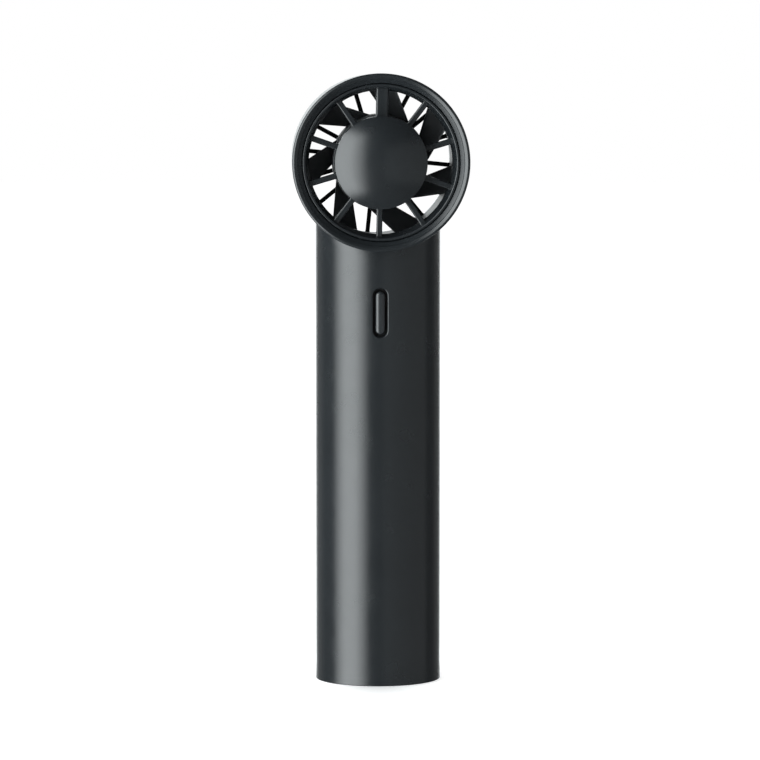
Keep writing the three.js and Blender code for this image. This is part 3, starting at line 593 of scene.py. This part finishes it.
FLARE_HEIGHT = 11                   # height at which the tube's foot has run into its wall
FOOT_EDGE = 0.25
WAIST = 0.1                         # how much narrower than its foot the tube is just above it
WAIST_HEIGHT = 5
WALL_START = 30                     # height of the straight wall's lowest row
BORE_START = 20                     # height of the bore's lowest row
TUBE_LIP = 0.3                      # rounding of the tube's top edge
SADDLE_GAP = 0.12                   # the line between the tube and the shell

SLOT_HALF_WIDTH = 2.0
SLOT_HALF_LENGTH = 6.9
SLOT_EDGE = 0.5
SOCKET_HOLE_EDGE = 0.35
CUTTER_OUTSIDE = 3.0                # how far a cutter stands out of the tube
CUTTER_INSIDE = 9.0                 # how far it reaches in

CAP_RIM_TOP = 8
CAP_FLOOR_TOP = 4
CAP_WALL = 1.8
PAD_HOLLOW = 0.25                   # how far the pad's middle is off the table
PAD_RING = 2.6                      # width of the ring that it stands on
PAD_SLOPE = 0.4

BUTTON_HALF_WIDTH = 1.3
BUTTON_HALF_LENGTH = 6.05
BUTTON_CROWN = 0.75                 # how far its face is domed
CROWN_SHARE = 0.97                  # the share of its half width that the dome takes
FLANGE_THICKNESS = 0.55             # the flange that keeps the button in the tube
FLANGE_STEP = 0.05

SOCKET_WALL = 0.35
SOCKET_OUTER_EDGE = 0.1
SOCKET_INNER_EDGE = 0.08


def saddle_height(x, y):
    """Height at which an upright line through (x, y) meets the head shell, less a hairline gap."""
    share = (y - RIM_FRONT) / (SHELL_REAR - RIM_FRONT)
    radius = SHELL_FRONT_RADIUS + share * (SHELL_REAR_RADIUS - SHELL_FRONT_RADIUS) + SADDLE_GAP
    return AXIS_Z - sqrt(radius ** 2 - x ** 2)


def grip_wall():
    """The tube as upright strips: rounded foot, slight flare, straight wall and a saddle-cut top."""
    wall_rows = 40
    bore = TUBE_RADIUS - TUBE_WALL
    foot = TUBE_RADIUS + TUBE_FLARE
    corners = rounded([
        (bore, TUBE_BOTTOM + BORE_START, 0), (bore, TUBE_BOTTOM, 0.3), (foot, TUBE_BOTTOM, FOOT_EDGE),
        (foot - WAIST, TUBE_BOTTOM + WAIST_HEIGHT, 6), (TUBE_RADIUS, TUBE_BOTTOM + FLARE_HEIGHT, 12),
        (TUBE_RADIUS, TUBE_BOTTOM + WALL_START, 0),
    ], steps=8)
    start = corners[-1][1]
    rings = []
    for i in range(RING_SIDES):
        angle = 2 * pi * i / RING_SIDES
        c, s = cos(angle), sin(angle)
        strip = [(r * c, r * s, h) for r, h in corners]
        top = saddle_height(TUBE_RADIUS * c, TUBE_RADIUS * s)
        for k in range(1, wall_rows + 1):
            h = start + (top - TUBE_LIP - start) * k / wall_rows
            strip.append((TUBE_RADIUS * c, TUBE_RADIUS * s, h))
        for turn in quarter(4)[1:]:
            r = TUBE_RADIUS - TUBE_LIP * (1 - cos(turn))
            strip.append((r * c, r * s, top - TUBE_LIP + TUBE_LIP * sin(turn)))
        strip.append((bore * c, bore * s, saddle_height(bore * c, bore * s)))
        rings.append(strip)
    return loft("grip_tube_wall", rings, closed=True)


def flared_cutter(name, half_width, half_length, y_face, inward, z, edge, sideways=False):
    """A cutter for a hole whose outer edge is rounded over. inward is +1 or -1 along Y."""
    levels = [(-CUTTER_OUTSIDE, edge + CUTTER_OUTSIDE)]
    levels += [(edge * (1 - cos(turn)), edge * (1 - sin(turn))) for turn in quarter(6)]
    levels.append((CUTTER_INSIDE, 0))
    rings = []
    for depth, extra in levels:
        outline = pill(half_width + extra, half_length + extra)
        if sideways:
            outline = [(b, a) for a, b in outline]
        ring = []
        for x, up in outline:
            # Measured from the tube's curved face, so that the edge is as round all the way about.
            inset = depth + TUBE_RADIUS - sqrt(TUBE_RADIUS ** 2 - x ** 2)
            ring.append((x, y_face + inward * inset, z + up))
        rings.append(ring)
    return loft(name, rings)


def build_tube():
    wall = grip_wall()
    slot = flared_cutter("slot", SLOT_HALF_WIDTH, SLOT_HALF_LENGTH, -TUBE_RADIUS, 1, BUTTON_Z, SLOT_EDGE)
    boolean(wall, slot, "DIFFERENCE")
    half = (socket_high - socket_low) / 2
    hole = flared_cutter("socket_hole", half.z + GAP, half.x + GAP, TUBE_RADIUS, -1, SOCKET_Z,
                         SOCKET_HOLE_EDGE, sideways=True)
    boolean(wall, hole, "DIFFERENCE")
    finish_piece(wall, "satin_black", "housing", "grip_tube")


def build_base():
    cap_radius = cap_high.x
    pad_radius = pad_high.x
    recess = pad_radius + GAP
    recess_top = pad_high.z + GAP
    cap = turned("base_plug", rounded([
        (recess, cap_low.z, 0.15), (cap_radius, cap_low.z, 0.3), (cap_radius, CAP_RIM_TOP, 0.3),
        (cap_radius - CAP_WALL, CAP_RIM_TOP, 0.3), (cap_radius - CAP_WALL, CAP_FLOOR_TOP, 0.6),
        (0, CAP_FLOOR_TOP, 0), (0, recess_top, 0), (recess, recess_top, 0.1),
    ]), upright=True)
    finish_piece(cap, "inner_black", "housing", "base_cap")
    ring_inner = pad_radius - PAD_RING
    pad = turned("foot", rounded([
        (0, PAD_HOLLOW, 0), (ring_inner - PAD_SLOPE, PAD_HOLLOW, 0.2), (ring_inner, 0, 0.15),
        (pad_radius, 0, 0.35), (pad_radius, pad_high.z, 0.1), (0, pad_high.z, 0),
    ]), upright=True)
    finish_piece(pad, "rubber", "housing", "foot_pad")


def build_button():
    """A flange behind the tube's wall, and a stem through the slot with a crowned face."""
    flange_front = button_high.y - FLANGE_THICKNESS
    flange = pill(button_high.x, (button_high.z - button_low.z) / 2)
    stem = pill(BUTTON_HALF_WIDTH, BUTTON_HALF_LENGTH)
    levels = [(button_high.y, flange), (flange_front, flange), (flange_front - FLANGE_STEP, stem)]
    for turn in quarter(8):
        inset = CROWN_SHARE * BUTTON_HALF_WIDTH * (1 - cos(turn))
        y = button_low.y + BUTTON_CROWN * (1 - sin(turn))
        levels.append((y, pill(BUTTON_HALF_WIDTH - inset, BUTTON_HALF_LENGTH - inset)))
    rings = [[(x, y, BUTTON_Z + z) for x, z in outline] for y, outline in levels]
    finish_piece(loft("button_cap", rings), "gloss_black", "button", "power_button")


def build_socket():
    """A thin oval sleeve, open at the back, with rounded edges."""
    half = (socket_high - socket_low) / 2
    mouth = socket_high.y
    stations = [
        (0, socket_low.y), (0, mouth - SOCKET_OUTER_EDGE), (SOCKET_OUTER_EDGE, mouth),
        (SOCKET_WALL - SOCKET_INNER_EDGE, mouth), (SOCKET_WALL, mouth - SOCKET_OUTER_EDGE),
        (SOCKET_WALL, socket_low.y),
    ]
    rings = []
    for inset, y in stations:
        outline = pill(half.z - inset, half.x - inset)
        rings.append([(b, y, SOCKET_Z + a) for a, b in outline])
    finish_piece(loft("socket_shell", rings, closed=True), "steel", "housing", "charging_socket")


# ---------------------------------------------------------------------------------------------
# Head. The profiles are outlines of (radius, Y, corner radius), turned about the head's axis.
# ---------------------------------------------------------------------------------------------

SHELL_BORE = SHELL_FRONT_RADIUS - 1.55
NECK_WALL = 1.4
NECK_OVERLAP = 0.6                  # how far the neck runs into the shell's wall

BEAD_OUTER = 22.05                  # the half-round bead on the front of the grille's ring
BEAD_INNER = 21.15
BEAD_DEPTH = 1.8                    # how far behind the rim it lies
BEAD_ROUND = 0.42
BEAD_GAP = 0.08                     # the line between the bead and the bezel
BEAD_FOOT = (0.15, 0.8)             # where the bead meets the ring's slope: further in, and behind

BEZEL_DEPTH = 2.7                   # how far behind the rim the bezel's bevels reach
BEZEL_DRAFT = 0.05                  # how much narrower the bezel is at its back
BEZEL_SEAT = 2.0                    # width of the face that it meets the shell with
SEAM_LINE = 0.2
SPIGOT_LENGTH = 3.5                 # how far it reaches into the shell
RIM_WIDTH = 0.62
STEP_FRONT = (1.5, 0.5)             # the step between the bevels: in from the rim, and behind it
STEP_REAR = (1.62, 0.72)
BEVEL_END = 1.55                    # how far behind the rim the inner bevel ends

FRONT_SPOKES = 10
FRONT_TURN = -1.3                   # degrees
SPOKE_FRONT = RIM_FRONT + 3.8
SPOKE_REAR = RIM_FRONT + 5.6
SPOKE = (1.65, 0.4)                 # width, and rounding of the front edges
WIDE_SPOKE = (3.4, 0.5)
SPOKE_INTO_HUB = 0.4                # how far a spoke's ends run into what they meet
SPOKE_INTO_RING = 1.0
THROAT_FRONT = RIM_FRONT + 6.1      # between these two, the grille's ring is narrowest
THROAT_REAR = RIM_FRONT + 7
HUB_RIM_FRONT = RIM_FRONT + 0.35
HUB_RIM_WALL = 0.75
HUB_PLATE_FRONT = THROAT_REAR
HUB_PLATE_REAR = RIM_FRONT + 8.2
HUB_HOLE = 4.1
RING_BACK_EDGE = 0.4                # how much narrower than the duct the ring's back is

DOME_WALL = 1.2
DOME_EDGE_FRONT = RIM_FRONT + 0.25
DOME_EDGE_REAR = RIM_FRONT + 0.3
DOME_EDGE_BEVEL = 0.2
SKIRT_OUTER = HUB_RADIUS - 1.05     # the dome's skirt, which fits inside the hub's rim
SKIRT_INNER = HUB_RADIUS - 1.75

REAR_SPOKES = 16
REAR_TURN = -5.76                   # degrees
REAR_SPOKE_WIDTH = 1.25
REAR_SPOKE_DEPTH = 1.5
REAR_SPOKE_EDGE = 0.3
REAR_SPOKE_INTO_HUB = 0.5
REAR_SPOKE_INTO_RING = 0.6
REAR_HUB_RADIUS = 11.5
REAR_HUB_DEPTH = 1.7


def neck_line(radius, c, s):
    """The neck's lowest and highest point on the upright line at a radius and direction."""
    x, y = radius * c, radius * s
    return [(x, y, shell_low.z), (x, y, AXIS_Z - sqrt((SHELL_BORE + NECK_OVERLAP) ** 2 - x ** 2))]


def build_shell():
    """A slightly tapered barrel, joined to a short neck that plugs into the tube."""
    barrel = turned("shell_barrel", rounded([
        (SHELL_BORE, SEAM, 0.1), (SHELL_FRONT_RADIUS, SEAM, 0.12), (SHELL_REAR_RADIUS, SHELL_REAR, 1.3),
        (SHELL_BORE, SHELL_REAR, 0.2),
    ], steps=8), segments=RING_SIDES)
    neck_radius = TUBE_RADIUS - TUBE_WALL - GAP
    rings = []
    for i in range(SMALL_SIDES):
        angle = 2 * pi * i / SMALL_SIDES
        c, s = cos(angle), sin(angle)
        inside = neck_line(neck_radius - NECK_WALL, c, s)
        outside = neck_line(neck_radius, c, s)
        rings.append([*reversed(inside), *outside])
    boolean(barrel, loft("shell_neck", rings, closed=True), "UNION")
    barrel.name = "shell"
    finish_piece(barrel, "satin_black", "housing", "head_shell")


def build_bezel():
    """A ring whose front falls inwards in two bevels with a step between them."""
    bore = BEAD_OUTER + BEAD_GAP
    back = SEAM - SEAM_LINE
    end = SEAM + SPIGOT_LENGTH
    piece = turned("bezel", rounded([
        (RIM_RADIUS - BEZEL_SEAT, end, 0), (RIM_RADIUS - BEZEL_SEAT, back, 0),
        (RIM_RADIUS - BEZEL_DRAFT, back, 0.12), (RIM_RADIUS, RIM_FRONT + 0.3, 0.55),
        (RIM_RADIUS - RIM_WIDTH, RIM_FRONT, 0.3),
        (RIM_RADIUS - STEP_FRONT[0], RIM_FRONT + STEP_FRONT[1], 0.1),
        (RIM_RADIUS - STEP_REAR[0], RIM_FRONT + STEP_REAR[1], 0.08),
        (bore + 0.1, RIM_FRONT + BEVEL_END, 0.15), (bore, RIM_FRONT + BEZEL_DEPTH, 0), (bore, end, 0),
    ], steps=6), segments=RING_SIDES)
    finish_piece(piece, "satin_black", "housing", "front_bezel", angle=25)


def build_front_grille():
    """A ring with a bead, a cup-shaped hub, and spokes between them, the top one wide."""
    bead_front = RIM_FRONT + BEAD_DEPTH
    ring_rear = grille_high.y
    body = turned("grille_ring", rounded([
        (BEAD_OUTER, ring_rear, 0), (BEAD_OUTER, bead_front, BEAD_ROUND),
        (BEAD_INNER, bead_front, BEAD_ROUND), (BEAD_INNER - BEAD_FOOT[0], bead_front + BEAD_FOOT[1], 0.2),
        (THROAT, THROAT_FRONT, 0.5), (THROAT, THROAT_REAR, 0.3),
        (DUCT_RADIUS - RING_BACK_EDGE, ring_rear, 0.1),
    ], steps=6), segments=RING_SIDES)
    rim_inner = HUB_RADIUS - HUB_RIM_WALL
    hub = turned("grille_hub", rounded([
        (HUB_HOLE, HUB_PLATE_FRONT, 0), (rim_inner, HUB_PLATE_FRONT, 0.3), (rim_inner, HUB_RIM_FRONT, 0),
        (HUB_RADIUS - 0.1, HUB_RIM_FRONT, 0.2), (HUB_RADIUS, HUB_PLATE_REAR, 0.3),
        (HUB_HOLE, HUB_PLATE_REAR, 0),
    ], steps=4))
    bars = []
    for i in range(FRONT_SPOKES):
        angle = 90 + FRONT_TURN + i * 360 / FRONT_SPOKES
        width, edge = SPOKE if i else WIDE_SPOKE
        bars.append(bar(f"spoke_{i}", angle, width, HUB_RADIUS - SPOKE_INTO_HUB,
                        THROAT + SPOKE_INTO_RING, SPOKE_FRONT, SPOKE_REAR, edge))
    boolean(body, merge("spokes", bars), "UNION")
    boolean(body, hub, "UNION")
    body.name = "grille"
    finish_piece(body, "satin_black", "housing", "front_grille")


def cap_arc(radius, centre, from_angle, to_angle, steps):
    """Points (radius, Y) along an arc about a centre on the axis, by the angle from its front."""
    turns = [from_angle + (to_angle - from_angle) * k / steps for k in range(steps + 1)]
    return [(radius * sin(turn), centre - radius * cos(turn)) for turn in turns]


def build_dome():
    """A thin spherical cap with a skirt behind it."""
    rise = RIM_FRONT - dome_low.y
    sphere = (HUB_RADIUS ** 2 + rise ** 2) / (2 * rise)
    centre = dome_low.y + sphere
    inner = sphere - DOME_WALL
    outline = cap_arc(sphere, centre, 0, asin(HUB_RADIUS / sphere), 40)
    outline += [
        (HUB_RADIUS, DOME_EDGE_FRONT), (HUB_RADIUS - DOME_EDGE_BEVEL, DOME_EDGE_REAR),
        (SKIRT_OUTER, DOME_EDGE_REAR), (SKIRT_OUTER, dome_high.y), (SKIRT_INNER, dome_high.y),
    ]
    outline += cap_arc(inner, centre, asin(SKIRT_INNER / inner), 0, 16)
    finish_piece(turned("dome", outline), "satin_black", "housing", "hub_dome", angle=40)


def build_liner():
    outer = liner_high.x
    piece = turned("liner", rounded([
        (DUCT_RADIUS, liner_low.y, 0.1), (outer, liner_low.y, 0.1), (outer, liner_high.y, 0.1),
        (DUCT_RADIUS, liner_high.y, 0.1),
    ], steps=2), segments=RING_SIDES)
    finish_piece(piece, "duct_black", "housing", "duct_liner")


def build_rear_grille():
    """A flat ring and a hub with a recess for the cap, joined by thin spokes."""
    rear = rear_high.y
    ring = turned("rear_ring", rounded([
        (DUCT_RADIUS, rear_low.y, 0.1), (rear_high.x, rear_low.y, 0.1), (rear_high.x, rear, 0.3),
        (DUCT_RADIUS, rear, 0.35),
    ]), segments=RING_SIDES)
    recess = rear_cap_high.x + GAP
    recess_floor = rear_cap_low.y - GAP
    hub = turned("rear_hub", rounded([
        (0, rear - REAR_HUB_DEPTH, 0), (REAR_HUB_RADIUS, rear - REAR_HUB_DEPTH, 0.4),
        (REAR_HUB_RADIUS, rear, 0.45), (recess, rear, 0.15), (recess, recess_floor, 0),
        (0, recess_floor, 0),
    ]), segments=SMALL_SIDES)
    bars = []
    for i in range(REAR_SPOKES):
        angle = 90 + REAR_TURN + i * 360 / REAR_SPOKES
        bars.append(bar(f"rear_spoke_{i}", angle, REAR_SPOKE_WIDTH,
                        REAR_HUB_RADIUS - REAR_SPOKE_INTO_HUB, DUCT_RADIUS + REAR_SPOKE_INTO_RING,
                        rear - REAR_SPOKE_DEPTH, rear, REAR_SPOKE_EDGE))
    boolean(ring, merge("rear_spokes", bars), "UNION")
    boolean(ring, hub, "UNION")
    ring.name = "grille_rear"
    finish_piece(ring, "satin_black", "housing", "rear_grille")


def build_rear_cap():
    radius = rear_cap_high.x
    cap = turned("rear_badge", rounded([
        (0, rear_cap_low.y, 0), (radius, rear_cap_low.y, 0), (radius, rear_cap_high.y, 0.3),
        (0, rear_cap_high.y, 0),
    ]), segments=SMALL_SIDES)
    finish_piece(cap, "satin_black", "housing", "rear_cap")


# ---------------------------------------------------------------------------------------------
# Impeller
# ---------------------------------------------------------------------------------------------

ROTOR_HUB_RADIUS = 13.3
ROTOR_HUB_BORE = 11.6
SHAFT_HOLE = 1.3
WEB_FRONT = rotor_high.y - 5.1      # the disc that joins the hub to the shaft
WEB_REAR = rotor_high.y - 3.1

BLADES = 7
BLADE_FRONT = rotor_high.y - 7.3
BLADE_REAR = rotor_high.y - 1.3
BLADE_ROOT = 12.9
BLADE_TIP = 21.1
BLADE_HALF_ROOT = 0.55              # half its thickness at the root
BLADE_TAPER = 0.15                  # how much less that is at the tip
BLADE_CAMBER = 0.35
BLADE_SQUARENESS = 6                # how square its section is: 2 would be an ellipse
EDGE_RADII = (12.4, 21.1)           # where the angles of a blade's edges are given
FRONT_EDGE = (40.6, 77.3)           # degrees, seen from the front
REAR_EDGE = (78.3, 99.4)


def edge_angle(edge, radius):
    """Angle, at a radius, of the straight line between a blade edge's two ends."""
    ends = [Vector((r * cos(radians(a)), r * sin(radians(a)))) for r, a in zip(EDGE_RADII, edge)]
    along = ends[1] - ends[0]
    a, b, c = along.dot(along), ends[0].dot(along), ends[0].dot(ends[0]) - radius ** 2
    point = ends[0] + along * ((-b + sqrt(b * b - a * c)) / a)
    return degrees(atan2(point.y, point.x))


def blade(turn):
    """One raked blade: a rounded thin section swept from the hub to the duct."""
    stations = 12
    across = 14
    depth = BLADE_REAR - BLADE_FRONT
    rings = []
    for i in range(stations + 1):
        radius = BLADE_ROOT + (BLADE_TIP - BLADE_ROOT) * i / stations
        first, last = edge_angle(FRONT_EDGE, radius), edge_angle(REAR_EDGE, radius)
        run = Vector((radians(last - first) * radius, depth)).normalized()
        half = BLADE_HALF_ROOT - BLADE_TAPER * i / stations
        ring = []
        for side in (1, -1):
            for j in range(across + 1):
                share = (1 - cos(pi * j / across)) / 2
                share = share if side > 0 else 1 - share
                thickness = half * sqrt(max(0, 1 - (2 * share - 1) ** BLADE_SQUARENESS))
                shift = side * thickness + BLADE_CAMBER * (1 - (2 * share - 1) ** 2)
                angle = radians(first + (last - first) * share + degrees(-run.y * shift / radius) + turn)
                y = BLADE_FRONT + depth * share + run.x * shift
                ring.append((radius * cos(angle), y, AXIS_Z + radius * sin(angle)))
        rings.append(ring)
    return loft("blade", rings)


def build_impeller():
    """A hub in the shape of an H in section, with its blades."""
    front, rear = rotor_low.y, rotor_high.y
    hub = turned("rotor_hub", rounded([
        (SHAFT_HOLE, WEB_FRONT, 0), (ROTOR_HUB_BORE, WEB_FRONT, 0.4), (ROTOR_HUB_BORE, front, 0.1),
        (ROTOR_HUB_RADIUS, front, 0.3), (ROTOR_HUB_RADIUS, rear, 0.5), (ROTOR_HUB_BORE, rear, 0.2),
        (ROTOR_HUB_BORE, WEB_REAR, 0.5), (SHAFT_HOLE, WEB_REAR, 0),
    ], steps=4))
    blades = [blade(i * 360 / BLADES) for i in range(BLADES)]
    boolean(hub, merge("blades", blades), "UNION")
    hub.name = "rotor_vanes"
    finish_piece(hub, "duct_black", "rotor", "impeller")


add_camera()
add_stage()
dress_frame()
build_tube()
build_base()
build_button()
build_socket()
build_shell()
build_bezel()
build_front_grille()
build_dome()
build_liner()
build_rear_grille()
build_rear_cap()
build_impeller()
